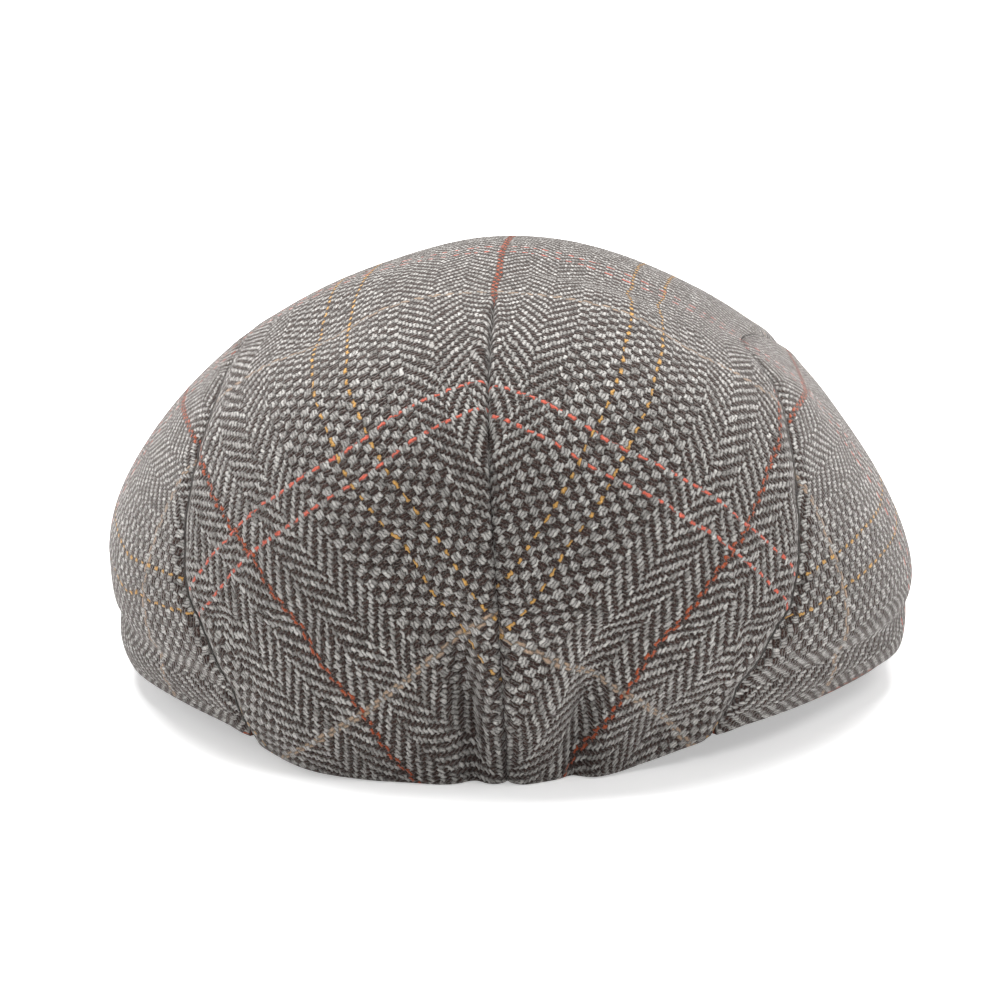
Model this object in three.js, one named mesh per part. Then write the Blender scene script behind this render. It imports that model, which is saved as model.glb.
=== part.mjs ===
// Tweed flat cap: one-piece top with a dart up the centre of the back, two side panels and a peak.
// Millimetres. +X is the wearer's right, +Y runs forward to the peak and +Z is up.
// The cap rests by itself on a table at z = 0, on the back of its hem and the peak's two corners.

import * as THREE from 'three';
import * as BufferGeometryUtils from 'three/addons/utils/BufferGeometryUtils.js';

// Head opening, inside measures of a medium cap
const headLength = 190;
const headWidth = 176;

// Cloth
const clothWall = 2;
const hemThickness = 3;
const hemTurnUp = 12;
const hemCrease = 0.8;
const creaseWidth = 5;
const seamGap = 0.4;
const dartGroove = 1.1;
const dartWidth = 3;

// Crown: how high it stands and how far it swells out past its hem
const crownHeight = 103;
const backSwell = 10;
const sideSwell = 7.5;
const frontSwell = 2;
const crestBehindCentre = 28;
const sideLift = 8;
const deepestDent = 4.5;

// Where the hem leaves the table, where it is fully lifted, and where the crease over the
// turned-up hem begins and is at its deepest, in degrees from the centre back
const liftStart = 12;
const liftFull = 41;
const creaseStart = 30;
const creaseFull = 45;

// The dart leans dartLean degrees to the right at the hem, and its groove fades out between these
// shares of the way up
const dartLean = 3.8;
const dartFadeStart = 0.8;
const dartFadeEnd = 0.97;

// Peak: a stiff plate under the crown's front, arched from side to side
const peakReach = 52;
const peakShowing = 18;
const peakThickness = 3.2;
const peakArch = 15;
const peakArchHalfWidth = 75;
const peakSlope = 0.14;
const peakRest = 0.3;
const peakEdge = 1.1;
const frontRoundness = 2.2;
const peakGap = 0.5;
const templeStart = 80;
const templeEnd = 97;
const peakStart = 102;

// Grids: columns round the crown and the peak, rows up the crown. The wall below the waist takes
// wallShare of the rows, and the back's columns bunch toward the dart.
const backColumns = 12;
const seamColumns = 28;
const frontColumns = 10;
const crownRows = 15;
const panelRows = 9;
const peakColumns = 36;
const wallShare = 0.22;
const backBunching = 1.3;
const halfTurn = 180;

// Round the crown from the centre back, turn 0, by the wearer's right side, turn 90, to the front.
// lift: share of sideLift that the hem stands off the table. waist: share of the height where the
// wall leans out furthest. round: how square the plan is there. crest: how square the top edge is.
const sections = [
  { turn: -180, lift: 0, waist: 0.18, round: 2.2, crest: 1.6 },
  { turn: -135, lift: 0.2, waist: 0.16, round: 2, crest: 1.47 },
  { turn: -90, lift: 0.5, waist: 0.26, round: 2.2, crest: 1.26 },
  { turn: -45, lift: 0.7, waist: 0.29, round: 2.6, crest: 1.55 },
  { turn: 0, lift: 0, waist: 0.42, round: 3.3, crest: 2.02 },
  { turn: 45, lift: 1, waist: 0.27, round: 2.9, crest: 1.52 },
  { turn: 90, lift: 0.7, waist: 0.16, round: 1.75, crest: 1.6 },
  { turn: 135, lift: 0.3, waist: 0.17, round: 1.75, crest: 1.75 },
];

// Seam of a side panel, from the hem behind the ear, up to the shoulder and forward to the peak.
// turn: degrees from the centre back. share: 0 at the hem, 1 at the crest.
const sideSeam = [
  { turn: 36, share: 0 },
  { turn: 41, share: 0.16 },
  { turn: 46, share: 0.28 },
  { turn: 50, share: 0.4 },
  { turn: 56, share: 0.52 },
  { turn: 64, share: 0.6 },
  { turn: 78, share: 0.66 },
  { turn: 98, share: 0.66 },
  { turn: 118, share: 0.58 },
  { turn: 134, share: 0.42 },
  { turn: 146, share: 0.2 },
  { turn: 153, share: 0 },
];

// Soft dents in the cloth. turn and share: the middle. across, in degrees, and up, in shares: how
// far each spreads. lean: degrees that the dent turns on its whole way up. deep: share of
// deepestDent, less than nothing where the cloth swells out.
const dents = [
  { name: 'left of the dart', turn: -2, share: 0.1, across: 5, up: 0.13, lean: -30, deep: 0.85 },
  { name: 'right of the dart', turn: 13, share: 0.08, across: 5, up: 0.12, lean: 25, deep: 1 },
  { name: 'hem swell, left back', turn: -26, share: 0, across: 10, up: 0.12, lean: 0, deep: -1 },
  { name: 'hem drawn in, right back', turn: 25, share: 0, across: 13, up: 0.14, lean: 0, deep: 1 },
  { name: 'hem corner, left', turn: -72, share: 0, across: 12, up: 0.07, lean: 0, deep: -0.5 },
  { name: 'hem corner, right', turn: 80, share: 0.03, across: 12, up: 0.08, lean: 0, deep: -0.7 },
  { name: 'left side, drawn in', turn: -90, share: 0.2, across: 22, up: 0.14, lean: 0, deep: 0.5 },
  { name: 'over the dart', turn: 2, share: 0.36, across: 16, up: 0.16, lean: 0, deep: 0.4 },
  { name: 'left shoulder', turn: -62, share: 0.78, across: 22, up: 0.07, lean: 0, deep: 0.8 },
  { name: 'right shoulder', turn: 62, share: 0.76, across: 18, up: 0.07, lean: 0, deep: 0.5 },
  { name: 'right shoulder ridge', turn: 80, share: 0.6, across: 14, up: 0.06, lean: 0, deep: -0.4 },
  { name: 'left temple', turn: -112, share: 0.4, across: 14, up: 0.12, lean: 0, deep: 0.55 },
  { name: 'right temple', turn: 108, share: 0.34, across: 12, up: 0.12, lean: 0, deep: 0.65 },
  { name: 'front, left', turn: -156, share: 0.5, across: 9, up: 0.16, lean: 0, deep: 0.45 },
  { name: 'front, right', turn: 160, share: 0.4, across: 8, up: 0.14, lean: 0, deep: 0.45 },
];

const hemHalfWidth = headWidth / 2 + hemThickness;
const hemHalfLength = headLength / 2 + hemThickness;
const peakTip = headLength / 2 + peakReach;
const backReach = hemHalfLength + backSwell;
const degree = Math.PI / halfTurn;

function smooth(from, to, value) {
  const u = THREE.MathUtils.clamp((value - from) / (to - from), 0, 1);
  return u * u * (3 - 2 * u);
}

// A column of the sections, read at any turn on a smooth closed curve through its rows
function sectionValue(column, turn) {
  const count = sections.length;
  const place = ((turn + halfTurn) / (2 * halfTurn)) * count;
  const row = Math.floor(place);
  const u = place - row;
  const at = (index) => sections[((index % count) + count) % count][column];
  const [a, b, c, d] = [at(row - 1), at(row), at(row + 1), at(row + 2)];
  const bend = (2 * a - 5 * b + 4 * c - d) * u * u + (-a + 3 * b - 3 * c + d) * u * u * u;
  return 0.5 * (2 * b + (c - a) * u + bend);
}

// A point of a plan outline: an ellipse behind, and squarer in front
function outline(turn, halfWidth, back, front) {
  const side = Math.sin(turn * degree);
  const ahead = -Math.cos(turn * degree);
  if (ahead <= 0) {
    return { x: side * halfWidth, y: ahead * back };
  }
  const power = 2 / frontRoundness;
  return {
    x: Math.sign(side) * Math.abs(side) ** power * halfWidth,
    y: ahead ** power * front,
  };
}

function peakFall(x, y) {
  return peakArch * (x / peakArchHalfWidth) ** 2 + peakSlope * y;
}

function peakOutline(turn) {
  return outline(turn, hemHalfWidth, hemHalfLength, peakTip);
}

// The peak's lowest two corners touch the table, flattened there by peakRest
function lowestPeakFall() {
  let most = 0;
  for (let turn = 90; turn <= halfTurn; turn += 1) {
    const edge = peakOutline(turn);
    most = Math.max(most, peakFall(edge.x, edge.y));
  }
  return most;
}

const peakZero = lowestPeakFall() - peakRest;

function peakUnderside(x, y) {
  return peakZero - peakFall(x, y);
}

// Height of the hem's edge over the table: lifted at the sides, and on the peak in front
function hemHeight(turn, x, y) {
  const behind = sideLift * Math.max(sectionValue('lift', turn), 0) * smooth(liftStart, liftFull, Math.abs(turn));
  const onPeak = Math.max(peakUnderside(x, y), 0) + peakThickness + peakGap;
  return THREE.MathUtils.lerp(behind, onPeak, smooth(templeStart, templeEnd, Math.abs(turn)));
}

function hemPoint(turn) {
  const edge = outline(turn, hemHalfWidth, hemHalfLength, peakTip - peakShowing);
  return new THREE.Vector3(edge.x, edge.y, hemHeight(turn, edge.x, edge.y));
}

// The crown's outside before its dents: a wall that leans out to the waist, then a rounded top
function crownForm(turn, share) {
  const hem = hemPoint(turn);
  const swollenTip = peakTip - peakShowing + frontSwell;
  const swell = outline(turn, hemHalfWidth + sideSwell, backReach, swollenTip);
  const waist = hem.z + sectionValue('waist', turn) * (crownHeight - hem.z);
  if (share <= wallShare) {
    const rise = share / wallShare;
    const lean = 1 - (1 - rise) ** 2;
    return new THREE.Vector3(
      THREE.MathUtils.lerp(hem.x, swell.x, lean),
      THREE.MathUtils.lerp(hem.y, swell.y, lean),
      THREE.MathUtils.lerp(hem.z, waist, rise),
    );
  }
  const sweep = ((share - wallShare) / (1 - wallShare)) * (Math.PI / 2);
  const reach = Math.max(Math.cos(sweep), 0) ** (2 / sectionValue('round', turn));
  const climb = Math.sin(sweep) ** (2 / sectionValue('crest', turn));
  return new THREE.Vector3(
    swell.x * reach,
    -crestBehindCentre + (swell.y + crestBehindCentre) * reach,
    waist + (crownHeight - waist) * climb,
  );
}

function outward(turn, share, form) {
  const step = 0.02;
  const low = Math.max(share - step, 0);
  const high = Math.min(share + step, 0.99);
  const along = form(turn + 1, share).sub(form(turn - 1, share));
  const upward = form(turn, high).sub(form(turn, low));
  return along.cross(upward).normalize();
}

function dentDepth(turn, share) {
  let depth = 0;
  for (const dent of dents) {
    const middle = dent.turn + dent.lean * (share - dent.share);
    const across = (turn - middle) / dent.across;
    const up = (share - dent.share) / dent.up;
    depth += deepestDent * dent.deep * Math.exp(-across * across - up * up);
  }
  const dart = ((turn - dartLean * (1 - share)) * degree * hemHalfLength) / dartWidth;
  depth += dartGroove * Math.exp(-dart * dart) * (1 - smooth(dartFadeStart, dartFadeEnd, share));
  return depth;
}

// The share of the way up at a height over the hem, below the waist
function shareAt(turn, height) {
  return (wallShare * height) / (sectionValue('waist', turn) * crownHeight);
}

function creaseDepth(turn, share) {
  const off = (share - shareAt(turn, hemTurnUp)) / shareAt(turn, creaseWidth);
  return hemCrease * Math.exp(-off * off) * smooth(creaseStart, creaseFull, Math.abs(turn));
}

// The crown's outside: dents, the dart's groove and the crease over the turned-up hem
function crownSurface(turn, share) {
  const point = crownForm(turn, share);
  if (share >= 1) {
    return point;
  }
  const inward = outward(turn, share, crownForm).negate();
  inward.multiplyScalar(dentDepth(turn, share) + creaseDepth(turn, share));
  if (share === 0) {
    inward.z = 0;
  }
  return point.add(inward);
}

// The crown's inside, one wall further in; the turned-up hem is thicker and stands flat
function crownInside(turn, share) {
  const point = crownSurface(turn, share);
  if (share >= 1) {
    return point.setZ(point.z - clothWall);
  }
  const wall = THREE.MathUtils.lerp(hemThickness, clothWall, smooth(0, shareAt(turn, hemTurnUp), share));
  const inward = outward(turn, Math.max(share, 0.01), crownSurface).negate();
  if (share === 0) {
    inward.setZ(0).normalize().multiplyScalar(wall);
    const inside = point.clone().add(inward);
    const rise = hemHeight(turn, inside.x, inside.y) - hemHeight(turn, point.x, point.y);
    return inside.setZ(point.z + rise);
  }
  return point.add(inward.multiplyScalar(wall));
}

// Closed geometry from a list of triangles, with shared corners merged
function geometryOf(triangles) {
  const positions = triangles.flat().flatMap((corner) => [corner.x, corner.y, corner.z]);
  const geometry = new THREE.BufferGeometry();
  geometry.setAttribute('position', new THREE.Float32BufferAttribute(positions, 3));
  const merged = BufferGeometryUtils.mergeVertices(geometry, 1e-3);
  merged.computeVertexNormals();
  return merged;
}

function quad(triangles, a, b, c, d) {
  for (const corners of [[a, b, c], [a, c, d]]) {
    const [p, q, r] = corners;
    const flat = p.distanceTo(q) < 2e-3 || q.distanceTo(r) < 2e-3 || r.distanceTo(p) < 2e-3;
    if (!flat) {
      triangles.push(corners);
    }
  }
}

// A wall between an outer and an inner grid of points. Columns run anticlockwise seen from above.
function wallSolid(outer, inner, closed) {
  const triangles = [];
  const columns = outer.length;
  const rows = outer[0].length;
  const last = closed ? columns : columns - 1;
  for (let i = 0; i < last; i += 1) {
    const next = (i + 1) % columns;
    for (let j = 0; j < rows - 1; j += 1) {
      quad(triangles, outer[i][j], outer[next][j], outer[next][j + 1], outer[i][j + 1]);
      quad(triangles, inner[i][j], inner[i][j + 1], inner[next][j + 1], inner[next][j]);
    }
    quad(triangles, outer[i][0], inner[i][0], inner[next][0], outer[next][0]);
    if (!closed) {
      const top = rows - 1;
      quad(triangles, outer[i][top], outer[next][top], inner[next][top], inner[i][top]);
    }
  }
  if (!closed) {
    for (let j = 0; j < rows - 1; j += 1) {
      quad(triangles, outer[0][j], outer[0][j + 1], inner[0][j + 1], inner[0][j]);
      quad(triangles, outer[last][j], inner[last][j], inner[last][j + 1], outer[last][j + 1]);
    }
  }
  return geometryOf(triangles);
}

// The side seam as a smooth curve in turn and share, with its end rows on the hem
const seamCurve = new THREE.CatmullRomCurve3(
  sideSeam.map((row) => new THREE.Vector3(row.turn, row.share * 100, 0)),
  false,
  'centripetal',
);

// A point of the seam moved sideways by a distance, toward the top piece if positive
function seamPoint(along, aside) {
  const here = seamCurve.getPoint(along);
  const tangent = seamCurve.getTangent(along);
  const share = THREE.MathUtils.clamp(here.y / 100, 0.02, 0.9);
  const perTurn = crownForm(here.x + 0.5, share).distanceTo(crownForm(here.x - 0.5, share));
  const perShare = crownForm(here.x, share + 0.01).distanceTo(crownForm(here.x, share - 0.01)) / 2;
  const side = new THREE.Vector2(-tangent.y * perShare, tangent.x * perTurn).normalize();
  return {
    turn: here.x + (side.x * aside) / perTurn,
    share: Math.max((here.y + (side.y * aside) / perShare) / 100, 0),
  };
}

function spread(count) {
  return Array.from({ length: count + 1 }, (unused, index) => index / count);
}

// Columns of the top piece: from the hem at the back and front, and from the seams at the sides
function topColumns() {
  const half = [];
  const backEnd = seamPoint(0, seamGap / 2).turn;
  const frontStart = seamPoint(1, seamGap / 2).turn;
  for (const u of spread(backColumns).slice(0, -1)) {
    half.push({ turn: backEnd * u ** backBunching, share: 0 });
  }
  for (const u of spread(seamColumns)) {
    half.push(seamPoint(u, seamGap / 2));
  }
  for (const u of spread(frontColumns).slice(1)) {
    half.push({ turn: THREE.MathUtils.lerp(frontStart, halfTurn, u), share: 0 });
  }
  const left = half.slice(1, -1).map((row) => ({ turn: -row.turn, share: row.share }));
  return [...left.reverse(), ...half];
}

function topPiece() {
  const outer = [];
  const inner = [];
  for (const start of topColumns()) {
    const shares = spread(crownRows).map((u) => THREE.MathUtils.lerp(start.share, 1, u));
    outer.push(shares.map((share) => crownSurface(start.turn, share)));
    inner.push(shares.map((share) => crownInside(start.turn, share)));
  }
  return wallSolid(outer, inner, true);
}

// Side panel: columns from the hem up to the seam, its ends drawn in to short edges
function sidePanel(side) {
  const outer = [];
  const inner = [];
  for (const u of spread(seamColumns).slice(1, -1)) {
    const top = seamPoint(u, -seamGap / 2);
    const shares = spread(panelRows).map((v) => top.share * v);
    outer.push(shares.map((share) => crownSurface(side * top.turn, share)));
    inner.push(shares.map((share) => crownInside(side * top.turn, share)));
  }
  if (side < 0) {
    outer.reverse();
    inner.reverse();
  }
  return wallSolid(outer, inner, false);
}

// Peak: a crescent between the head opening and its outer edge, thinner at that edge
function peakPlate() {
  const reachShares = [0, 0.34, 0.67, 0.93, 1];
  const outer = [];
  const inner = [];
  for (const u of spread(peakColumns)) {
    const turn = THREE.MathUtils.lerp(peakStart, 2 * halfTurn - peakStart, u);
    const signed = turn > halfTurn ? turn - 2 * halfTurn : turn;
    const edge = peakOutline(signed);
    const opening = outline(signed, headWidth / 2, headLength / 2, headLength / 2);
    const top = [];
    const under = [];
    for (const reach of reachShares) {
      const x = THREE.MathUtils.lerp(opening.x, edge.x, reach);
      const y = THREE.MathUtils.lerp(opening.y, edge.y, reach);
      const z = Math.max(peakUnderside(x, y), 0);
      const thinning = reach === 1 ? peakEdge : 0;
      const underThinning = z > peakRest ? thinning : 0;
      top.push(new THREE.Vector3(x, y, z + peakThickness - thinning));
      under.push(new THREE.Vector3(x, y, z + underThinning));
    }
    outer.push(top);
    inner.push(under);
  }
  outer.reverse();
  inner.reverse();
  return wallSolid(outer, inner, false);
}

function cloth(colour) {
  return new THREE.MeshStandardMaterial({ color: colour, roughness: 0.95, metalness: 0 });
}

const pieces = [
  { name: 'crown_top', geometry: topPiece(), colour: '#6f6560' },
  { name: 'side_left', geometry: sidePanel(-1), colour: '#77706b' },
  { name: 'side_right', geometry: sidePanel(1), colour: '#77706b' },
  { name: 'peak', geometry: peakPlate(), colour: '#6a605b' },
];

const cap = new THREE.Group();
for (const piece of pieces) {
  const mesh = new THREE.Mesh(piece.geometry, cloth(piece.colour));
  mesh.name = piece.name;
  cap.add(mesh);
}

// The cap's frame: the origin lies on the table, under the middle of its width and length
const middle = new THREE.Box3().setFromObject(cap).getCenter(new THREE.Vector3());
cap.position.set(-middle.x, -middle.y, 0);

export default cap;
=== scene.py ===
import math

import bpy
import numpy as np
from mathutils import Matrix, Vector


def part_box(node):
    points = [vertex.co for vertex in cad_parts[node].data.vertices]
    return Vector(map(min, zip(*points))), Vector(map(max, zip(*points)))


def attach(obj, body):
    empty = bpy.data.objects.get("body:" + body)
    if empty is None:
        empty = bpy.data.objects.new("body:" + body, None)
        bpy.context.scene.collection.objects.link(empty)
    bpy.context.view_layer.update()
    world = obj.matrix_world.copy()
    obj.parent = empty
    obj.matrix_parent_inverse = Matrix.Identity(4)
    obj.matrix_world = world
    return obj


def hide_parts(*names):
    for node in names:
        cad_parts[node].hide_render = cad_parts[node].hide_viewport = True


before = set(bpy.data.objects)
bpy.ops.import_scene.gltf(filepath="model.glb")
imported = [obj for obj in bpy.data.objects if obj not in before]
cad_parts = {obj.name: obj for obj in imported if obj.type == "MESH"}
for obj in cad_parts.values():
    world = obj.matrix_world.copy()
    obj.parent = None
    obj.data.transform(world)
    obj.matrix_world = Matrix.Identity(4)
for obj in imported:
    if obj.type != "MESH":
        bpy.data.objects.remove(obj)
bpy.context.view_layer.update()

# Camera.
# The cap is seen from a little to the right of straight behind and from above, as it lies.
MM = 0.001
CAMERA_AZIMUTH = 3.636
CAMERA_ELEVATION = 16.46
CAMERA_DISTANCE = 1.4
PIXELS_PER_METRE = 4121
FRAME_PIXELS = 1000
SEEN_POINT = Vector((0, -20 * MM, 45 * MM))
SEEN_POINT_RIGHT = 11.97
SEEN_POINT_ABOVE = 22.27
CAMERA_SIGHT = 50

azimuth = math.radians(CAMERA_AZIMUTH)
elevation = math.radians(CAMERA_ELEVATION)
toward_camera = Vector((
    math.sin(azimuth) * math.cos(elevation),
    -math.cos(azimuth) * math.cos(elevation),
    math.sin(elevation),
))
camera_right = Vector((math.cos(azimuth), math.sin(azimuth), 0))
camera_up = toward_camera.cross(camera_right)
aim = SEEN_POINT - camera_right * (SEEN_POINT_RIGHT / PIXELS_PER_METRE)
aim -= camera_up * (SEEN_POINT_ABOVE / PIXELS_PER_METRE)
camera_data = bpy.data.cameras.new("camera")
camera_data.angle = 2 * math.atan(FRAME_PIXELS / 2 / (PIXELS_PER_METRE * CAMERA_DISTANCE))
camera_data.clip_end = CAMERA_SIGHT
camera = bpy.data.objects.new("camera", camera_data)
bpy.context.scene.collection.objects.link(camera)
camera.location = aim + toward_camera * CAMERA_DISTANCE
camera.rotation_euler = toward_camera.to_track_quat("Z", "Y").to_euler()
bpy.context.scene.camera = camera

# Top of the cap.
# One piece of wool tweed covers the whole crown. A dart, sewn up the centre of the back, shapes it,
# its sides are sewn to the side panels, and its hem is turned up inside.
HEAD_LENGTH = 190 * MM
HEAD_WIDTH = 176 * MM
CLOTH_WALL = 2 * MM
HEM_THICKNESS = 3 * MM
HEM_TURN_UP = 12 * MM
HEM_CREASE = 1.6 * MM
HEM_CREASE_WIDTH = 3 * MM
BACK_SWELL = 10 * MM
SIDE_SWELL = 7.5 * MM
FRONT_SWELL = 2 * MM
CREST_BEHIND_CENTRE = 28 * MM
SIDE_LIFT = 8 * MM
DEEPEST_DENT = 4.5 * MM
PEAK_REACH = 52 * MM
PEAK_SHOWING = 18 * MM
PEAK_THICKNESS = 3.2 * MM
PEAK_GAP = 0.5 * MM
PEAK_ARCH = 15 * MM
PEAK_ARCH_HALF_WIDTH = 75 * MM
PEAK_SLOPE = 0.14
PEAK_REST = 0.3 * MM
FRONT_ROUNDNESS = 2.2
WALL_SHARE = 0.22
HEM_LEVEL = 0.07
POLE = 0.995

# Where the hem leaves the table and is fully lifted, where the crease over the turned-up hem begins
# and is full, and where the temples begin and end, in degrees from the centre back
LIFT_START, LIFT_FULL = 12, 41
CREASE_START, CREASE_FULL = 30, 45
TEMPLE_START, TEMPLE_END = 80, 97

# Side seam: its rolled edges sink and swell beside it, less where the shoulder stretches them
SEAM_GAP = 0.4 * MM
SEAM_DEPTH = 1.1 * MM
SEAM_WIDTH = 1.7 * MM
SEAM_SWELL = 0.35 * MM
SHOULDER_TURN = 92
SHOULDER_SPREAD = 24
SHOULDER_EASE = 0.95
PUCKER_DEPTH = 0.3 * MM
PUCKER_REACH = 7 * MM
PUCKER_ACROSS = 12 * MM
PUCKER_POINTS = 4.3
PUCKER_SIDE_SHIFT = 3
PUCKER_SEED = 11

# Dart: it leans in degrees at the hem and is sewn up to its apex, a share of the way up
DART_LEAN = 3.8
DART_CURVE = 1.5
DART_REACH = 20
DART_DEPTH = 1.3 * MM
DART_WIDTH = 1.7 * MM
DART_SWELL = 0.4 * MM
DART_APEX = 0.955
DART_FADE_BEFORE, DART_FADE_AFTER = 0.09, 0.03
STITCH_DEPTH = 1.2 * MM
STITCH_WIDTH = 0.45 * MM
SWELL_ASIDE = 4.5 * MM
SWELL_WIDTH = 2.6 * MM

# Steps for measuring slopes, in degrees, shares of the way up and shares of the seam
TURN_STEP = 0.5
SHARE_STEP = 0.01
SEAM_STEP = 0.002
SEAM_LOWEST, SEAM_HIGHEST = 0.02, 0.9
SEAM_POINTS = 240
SEAM_PERCENT = 100
SIDES_TOP, SIDES_ROWS = 0.9, 60
POINTS_AT_ONCE = 4000
NOISE_CELLS = 64

# Round the crown from the centre back by the wearer's right side to the front, every 45 degrees:
# lift of the hem, height of the waist, how square the plan is, how square the top edge is
SECTIONS = {
    "lift": (0, 0.2, 0.5, 0.7, 0, 1, 0.7, 0.3),
    "waist": (0.18, 0.16, 0.26, 0.29, 0.42, 0.27, 0.16, 0.17),
    "round": (2.2, 2, 2.2, 2.6, 3.3, 2.9, 1.75, 1.75),
    "crest": (1.6, 1.47, 1.26, 1.55, 2.02, 1.52, 1.6, 1.75),
}
# The side seam from the hem behind the ear, up over the shoulder and down to the peak
SEAM_TURNS = (36, 41, 46, 50, 56, 64, 78, 98, 118, 134, 146, 153)
SEAM_SHARES = (0, 0.16, 0.28, 0.4, 0.52, 0.6, 0.66, 0.66, 0.58, 0.42, 0.2, 0)
# Dents of the cloth: middle (degrees, share of the way up), spread (degrees, share), lean, depth
DENTS = (
    (-2, 0.1, 5, 0.13, -30, 0.85),
    (13, 0.08, 5, 0.12, 25, 1),
    (-26, 0, 10, 0.12, 0, -1),
    (25, 0, 13, 0.14, 0, 1),
    (-72, 0, 12, 0.07, 0, -0.5),
    (80, 0.03, 12, 0.08, 0, -0.7),
    (-90, 0.2, 22, 0.14, 0, 0.5),
    (2, 0.36, 16, 0.16, 0, 0.4),
    (-62, 0.78, 22, 0.07, 0, 0.8),
    (62, 0.76, 18, 0.07, 0, 0.5),
    (80, 0.6, 14, 0.06, 0, -0.4),
    (-112, 0.4, 14, 0.12, 0, 0.55),
    (108, 0.34, 12, 0.12, 0, 0.65),
    (-156, 0.5, 9, 0.16, 0, 0.45),
    (160, 0.4, 8, 0.14, 0, 0.45),
)
# Small folds gathered beside the foot of the dart, in the same way but with depths in millimetres
GATHERS = (
    (-2.2, 0.11, 1.9, 0.14, -9, 4.4),
    (14.8, 0.06, 1.9, 0.11, 13, 3.8),
    (9, 0.08, 3, 0.08, 12, -1.8),
    (10, 0.18, 7, 0.025, 0, 1.4),
    (1, 0.06, 1.3, 0.07, 0, -0.8),
    (-7.5, 0.1, 2.8, 0.12, -12, -1.2),
    (-8, 0.26, 5, 0.09, 0, 1.6),
    (-8, 0.11, 6, 0.1, -8, 2),
    (20, 0.1, 2.4, 0.09, 14, -0.6),
    (-20, 0.05, 3, 0.07, -10, 0.6),
    (25.5, 0.05, 2.5, 0.08, 10, 0.5),
    (-1, 0.93, 5, 0.03, 0, -0.5),
)

crown_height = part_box("crown_top")[1].z
hem_half_width = HEAD_WIDTH / 2 + HEM_THICKNESS
hem_half_length = HEAD_LENGTH / 2 + HEM_THICKNESS
peak_tip = HEAD_LENGTH / 2 + PEAK_REACH


def smooth(start, end, value):
    """A soft step from 0 at start to 1 at end."""
    u = np.clip((value - start) / (end - start), 0, 1)
    return u * u * (3 - 2 * u)


def hump(off, width):
    """A soft hump, 1 in the middle and near 0 from about two widths off."""
    return np.exp(-((off / width) ** 2))


def curve_through(a, b, c, d, u):
    """A smooth curve from b at u = 0 to c at u = 1, with its slopes set by a and d."""
    bend = (2 * a - 5 * b + 4 * c - d) * u**2 + (-a + 3 * b - 3 * c + d) * u**3
    return 0.5 * (2 * b + (c - a) * u + bend)


def section_value(column, turn):
    """A column of the sections at any turn, on a smooth closed curve through its rows."""
    rows = np.array(SECTIONS[column], float)
    place = (turn + 180) / 360 * len(rows)
    row = np.floor(place).astype(int)
    beside = (rows[(row + step) % len(rows)] for step in (-1, 0, 1, 2))
    return curve_through(*beside, place - row)


def plan(turn, half_width, back, front):
    """A plan outline round the head: an ellipse behind, and squarer in front."""
    side = np.sin(np.radians(turn))
    ahead = -np.cos(np.radians(turn))
    squarer = np.abs(side) ** (2 / FRONT_ROUNDNESS) * np.sign(side)
    x = np.where(ahead > 0, squarer, side) * half_width
    y = np.where(ahead > 0, np.abs(ahead) ** (2 / FRONT_ROUNDNESS) * front, ahead * back)
    return x, y


def peak_fall(x, y):
    """How far the peak's underside drops where it slopes forward and arches to the sides."""
    return PEAK_ARCH * (x / PEAK_ARCH_HALF_WIDTH) ** 2 + PEAK_SLOPE * y


def peak_plan(turn):
    return plan(turn, hem_half_width, hem_half_length, peak_tip)


peak_zero = np.max(peak_fall(*peak_plan(np.arange(90, 181)))) - PEAK_REST


def hem_height(turn, x, y):
    """The hem's height: on the table behind, lifted at the sides and on the peak in front."""
    lift = SIDE_LIFT * np.maximum(section_value("lift", turn), 0)
    behind = lift * smooth(LIFT_START, LIFT_FULL, np.abs(turn))
    on_peak = np.maximum(peak_zero - peak_fall(x, y), 0) + PEAK_THICKNESS + PEAK_GAP
    front = smooth(TEMPLE_START, TEMPLE_END, np.abs(turn))
    return behind * (1 - front) + on_peak * front


def crown_form(turn, share):
    """The crown's outside before its dents: a wall that leans out to the waist, then a dome."""
    turn, share = np.broadcast_arrays(np.asarray(turn, float), np.asarray(share, float))
    tip = peak_tip - PEAK_SHOWING
    hem_x, hem_y = plan(turn, hem_half_width, hem_half_length, tip)
    hem_z = hem_height(turn, hem_x, hem_y)
    back = hem_half_length + BACK_SWELL
    x, y = plan(turn, hem_half_width + SIDE_SWELL, back, tip + FRONT_SWELL)
    waist = hem_z + section_value("waist", turn) * (crown_height - hem_z)
    rise = np.clip(share / WALL_SHARE, 0, 1)
    lean = 1 - (1 - rise) ** 2
    wall = (hem_x + (x - hem_x) * lean, hem_y + (y - hem_y) * lean, hem_z + (waist - hem_z) * rise)
    sweep = np.clip((share - WALL_SHARE) / (1 - WALL_SHARE), 0, 1) * (math.pi / 2)
    reach = np.maximum(np.cos(sweep), 0) ** (2 / section_value("round", turn))
    climb = np.sin(sweep) ** (2 / section_value("crest", turn))
    crest = -CREST_BEHIND_CENTRE
    dome = (x * reach, crest + (y - crest) * reach, waist + (crown_height - waist) * climb)
    return np.stack([np.where(share <= WALL_SHARE, a, b) for a, b in zip(wall, dome)], -1)


def outward(form, turn, share):
    """Unit normals of a form over turn and share."""
    low = np.maximum(share - SHARE_STEP, 0)
    high = np.minimum(share + SHARE_STEP, POLE)
    along = form(turn + TURN_STEP, share) - form(turn - TURN_STEP, share)
    upward = form(turn, high) - form(turn, low)
    normal = np.cross(along, upward)
    return normal / np.maximum(np.linalg.norm(normal, axis=-1, keepdims=True), 1e-12)


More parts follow.
